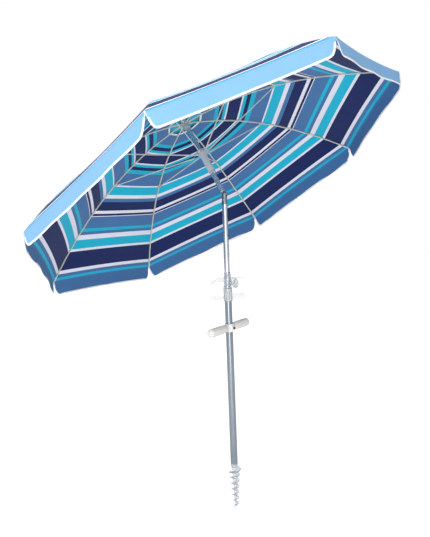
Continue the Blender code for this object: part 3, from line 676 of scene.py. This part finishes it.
# ---------------------------------------------------------------- runner and grips
def turned(bm, outline, frame_of, steps, start=0.0, sweep=2 * math.pi):
    """Turns a closed outline of (radius, height) points. frame_of places (x, y, height) in the model."""
    full = sweep > 2 * math.pi - 1e-6
    columns = []
    for i in range(steps if full else steps + 1):
        a = start + sweep * i / steps
        columns.append([bm.verts.new(frame_of(r * math.cos(a), r * math.sin(a), h)) for r, h in outline])
    for i in range(steps):
        bridge(bm, columns[i], columns[(i + 1) % len(columns)])
    if not full:
        bm.faces.new(columns[0])
        bm.faces.new(columns[-1][::-1])


def arc_points(centre, radius, start, end, steps):
    """Points of an arc between two angles in degrees."""
    angles = [math.radians(start + (end - start) * i / steps) for i in range(steps + 1)]
    return [(centre[0] + radius * math.cos(a), centre[1] + radius * math.sin(a)) for a in angles]


def build_runner(mat):
    """A barrel with a round head, open down its hidden low side. Six stretchers get a pair of lugs each, and
    the two that end inside the opening get none."""
    bore, barrel, head = 0.0124, 0.0162, 0.0225
    open_half = math.radians(62)        # half of the opening
    outline = [(bore, RING_Z - 0.105), *arc_points((barrel - 0.0015, RING_Z - 0.1035), 0.0015, -90, 0, 3),
               (barrel, RING_Z - 0.094), (barrel - 0.0008, RING_Z - 0.093), (barrel, RING_Z - 0.092),
               (barrel + 0.0006, RING_Z - 0.026), (barrel + 0.0012, RING_Z - 0.018),
               (head - 0.001, RING_Z - 0.008), (head, RING_Z - 0.0055),
               *arc_points((head - 0.002, RING_Z + 0.0125), 0.002, 0, 90, 4),
               (bore, RING_Z + 0.0145)]
    bm = bmesh.new()
    turned(bm, outline, from_upper, 44, math.pi + open_half, 2 * (math.pi - open_half))
    for k in range(1, RIBS + 1):
        azimuth = rib_azimuth(k)
        if abs(azimuth - math.pi) < open_half * 0.5:
            continue
        for cheek in (-1, 1):
            add_lug(bm, radial(azimuth), sideways(azimuth) * cheek)
    bmesh.ops.recalc_face_normals(bm, faces=bm.faces)
    runner = finish_mesh("runner_body", bm, [mat], "runner", smooth=40)
    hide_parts("runner")


def add_lug(bm, out, side):
    """One cheek beside a stretcher's eye."""
    near, far, high = 0.0200, LUG_END - 0.0030, 0.0030
    profile = [(near, -high), *arc_points((far, 0.0), high, -90, 90, 6), (near, high)]
    cheeks = []
    for offset in (0.0019, 0.0033):
        places = [out * x + side * offset + UP * (RING_Z + z) for x, z in profile]
        cheeks.append([bm.verts.new(from_upper(*place)) for place in places])
    inner, outer = cheeks
    bm.faces.new(inner)
    bm.faces.new(outer)
    bridge(bm, inner, outer)


def build_grips(mat):
    """Full, round-ended grips with a moulded ridge near the sleeve."""
    low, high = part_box("handle_grip_front")
    middle_z = (low[2] + high[2]) / 2
    start, end = -high[1], -low[1]
    rounding = 0.0125
    outline = [(GRIP_BORE, start), (GRIP_R - 0.0042, start), (GRIP_R - 0.0030, start + 0.0010),
               (GRIP_R - 0.0022, start + 0.010), (GRIP_R - 0.0032, start + 0.012),
               (GRIP_R - 0.0012, start + 0.015), (GRIP_R, start + 0.045),
               (GRIP_R + 0.0004, end - rounding - 0.020),
               *arc_points((GRIP_R - rounding, end - rounding), rounding, 0, 88, 8), (0.0004, end),
               (0.0004, end - 0.004), (GRIP_BORE, end - 0.0055)]
    for name, way, node in (("grip_front", -1, "handle_grip_front"), ("grip_back", 1, "handle_grip_back")):
        bm = bmesh.new()
        turned(bm, outline, lambda x, y, h, way=way: Vector((x, way * h, middle_z + y * way)), 40)
        bmesh.ops.recalc_face_normals(bm, faces=bm.faces)
        piece = finish_mesh(name, bm, [mat], "base", smooth=40)
        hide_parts(node)


# ---------------------------------------------------------------- finishes of the CAD pieces
SOFT_EDGES = {"hook_hanger": 0.0008, "clamp_knob": 0.0006, "handle_sleeve": 0.0008,
              "crown_hub": 0.0005, "tilt_fork": 0.0004, "coupling_collar": 0.0004}


def soften_edges():
    """Small bevels on the larger moulded and pressed pieces."""
    for name, width in SOFT_EDGES.items():
        bevel = frame["nodes"][name].modifiers.new("Edges", "BEVEL")
        bevel.width = width
        bevel.segments = 2
        bevel.limit_method = "ANGLE"
        bevel.angle_limit = math.radians(40)
        bevel.use_clamp_overlap = True


def finish_pieces():
    drawn, plain = (1.0, 1.0, 0.04), (1.0, 1.0, 1.0)
    # The three tubes are one silver in three shades. The upper tube's is much lighter, as painted light
    # against the canopy's shade over it, and the lower tube's is darker.
    silver = metal("silver_tube", (0.29, 0.33, 0.37), 0.26, drawn)
    silver_middle = metal("silver_middle", (0.56, 0.60, 0.65), 0.28, drawn)
    silver_upper_painted_light = metal("silver_upper_painted_light", (0.82, 0.84, 0.87), 0.26, (0.4, 0.4, 0.4), wear=0.06)
    dark = metal("dark_steel", (0.26, 0.28, 0.31), 0.36, (1.0, 1.0, 0.3))
    bright = metal("bright_steel", (0.70, 0.72, 0.75), 0.22, plain)
    painted = metal("painted_rib", (0.62, 0.62, 0.55), 0.42, plain, metallic=0.05, wear=0.2)
    white = plastic("white_plastic", (0.80, 0.82, 0.86), 0.30, transmission=0.25)
    frosted = plastic("frosted_plastic", (0.90, 0.93, 0.96), 0.16, transmission=0.80)
    milky = plastic("milky_plastic", (0.93, 0.94, 0.96), 0.20, transmission=0.62)
    grey = plastic("grey_plastic", (0.42, 0.44, 0.45), 0.40)
    bar = plastic("handle_plastic", (0.76, 0.76, 0.74), 0.42)
    grip = plastic("handle_grip", (0.72, 0.70, 0.66), 0.55, grain=0.0006)
    black = plastic("black_screw", (0.01, 0.01, 0.012), 0.35)
    finish = {"lower_tube": silver, "middle_tube": silver_middle, "upper_tube": silver_upper_painted_light,
              "tilt_fork": dark, "tilt_tongue": bright, "tilt_pin": bright, "tilt_button": bright,
              "runner_catch": bright, "anchor_button": dark, "clamp_stud": bright, "crown_wire": bright,
              "crown_hub": grey, "crown_cap": white, "hook_hanger": milky, "clamp_knob": milky,
              "guide_plug": white, "coupling_collar": frosted, "handle_sleeve": bar, "handle_screw": black}
    for k in range(1, RIBS + 1):
        finish.update({f"rib_{k}": painted, f"stretcher_{k}": painted, f"bracket_{k}": painted})
    for name, mat in finish.items():
        obj = frame["nodes"][name]
        for slot in obj.material_slots:
            slot.material = mat
    soften_edges()
    build_auger(frosted)
    build_rib_caps(white)
    build_runner(milky)
    build_grips(grip)


# ---------------------------------------------------------------- stage, light and camera
def area_light(name, place, aim, size, power):
    lamp = bpy.data.lights.new(name, "AREA")
    lamp.shape = "DISK"
    lamp.size = size
    lamp.energy = power
    obj = bpy.data.objects.new(name, lamp)
    obj.location = place
    obj.rotation_mode = "QUATERNION"
    obj.rotation_quaternion = (Vector(aim) - Vector(place)).to_track_quat("-Z", "Y")
    bpy.context.scene.collection.objects.link(obj)


def build_floor():
    level = Matrix.Translation((0, 0, cad_box[0][2] - FLOOR_GAP))
    bm = bmesh.new()
    bmesh.ops.create_circle(bm, cap_ends=True, radius=FLOOR_R, segments=64, matrix=level)
    mesh = bpy.data.meshes.new("floor")
    bm.to_mesh(mesh)
    bm.free()
    floor = bpy.data.objects.new("floor", mesh)
    bpy.context.scene.collection.objects.link(floor)
    s = Shader("floor_paint")
    cloud = s.noise(s.rest_position(), 0.6, 2.0)
    paint = s.mix(0.05, (0.985, 0.985, 0.99), s.spread(cloud, 0.97, 1.03), "MULTIPLY")
    lift = s.math("MULTIPLY", s.node("ShaderNodeLightPath").outputs["Is Camera Ray"], FLOOR_LIFT)
    s.set(Base_Color=paint, Roughness=0.9, Emission_Color=(1.0, 1.0, 1.0), Emission_Strength=lift)
    mesh.materials.append(s.material)


def build_world():
    """Bright walls with a dark flag on one side. Seen directly, the world is a white backdrop."""
    world = bpy.data.worlds.new("studio")
    world.use_nodes = True
    tree = world.node_tree
    sky = tree.nodes["Background"]
    backdrop = tree.nodes.new("ShaderNodeBackground")
    backdrop.inputs["Color"].default_value = (1.0, 1.0, 1.0, 1.0)
    backdrop.inputs["Strength"].default_value = 1.0
    toward = tree.nodes.new("ShaderNodeTexCoord")
    side = tree.nodes.new("ShaderNodeVectorMath")
    side.operation = "DOT_PRODUCT"
    side.inputs[1].default_value = DARK_SIDE
    ramp = tree.nodes.new("ShaderNodeMapRange")
    tint = tree.nodes.new("ShaderNodeCombineColor")
    limits = {"From Min": DARK_FROM, "From Max": DARK_TO, "To Min": WALL_BRIGHT, "To Max": WALL_DARK}
    for key, value in limits.items():
        ramp.inputs[key].default_value = value
    path = tree.nodes.new("ShaderNodeLightPath")
    choose = tree.nodes.new("ShaderNodeMixShader")
    tree.links.new(toward.outputs["Generated"], side.inputs[0])
    tree.links.new(side.outputs["Value"], ramp.inputs["Value"])
    for channel in ("Red", "Green", "Blue"):
        tree.links.new(ramp.outputs["Result"], tint.inputs[channel])
    tree.links.new(tint.outputs[0], sky.inputs["Color"])
    tree.links.new(path.outputs["Is Camera Ray"], choose.inputs[0])
    tree.links.new(sky.outputs[0], choose.inputs[1])
    tree.links.new(backdrop.outputs[0], choose.inputs[2])
    tree.links.new(choose.outputs[0], tree.nodes["World Output"].inputs["Surface"])
    bpy.context.scene.world = world


def build_lights():
    area_light("key", place=(0.9, -3.2, 3.4), aim=(-0.2, 0.0, 1.2), size=2.2, power=KEY_POWER)
    area_light("under_fill", place=(1.6, -2.4, 0.5), aim=(-0.1, 0.0, 1.4), size=1.8, power=FILL_POWER)
    view = bpy.context.scene.view_settings
    view.view_transform = "Standard"
    view.look = "None"
    view.exposure = 0.0


def build_camera():
    """From the right and front of the pole, a little below the rim's middle, looking slightly down."""
    forward = Vector(CAMERA_AHEAD).normalized()
    right = forward.cross(-Vector(CAMERA_DOWN)).normalized()
    up = right.cross(forward)
    data = bpy.data.cameras.new("camera")
    data.sensor_width = 36.0
    data.lens = LENS
    data.shift_y = LENS_SHIFT
    data.clip_end = 60.0
    camera = bpy.data.objects.new("camera", data)
    bpy.context.scene.collection.objects.link(camera)
    turn = Matrix((right, up, -forward)).transposed().to_4x4()
    camera.matrix_world = Matrix.Translation(CAMERA_PLACE) @ turn
    bpy.context.scene.camera = camera


build_camera()
build_floor()
build_world()
build_lights()
build_canopy()
finish_pieces()

bpy.context.view_layer.update()
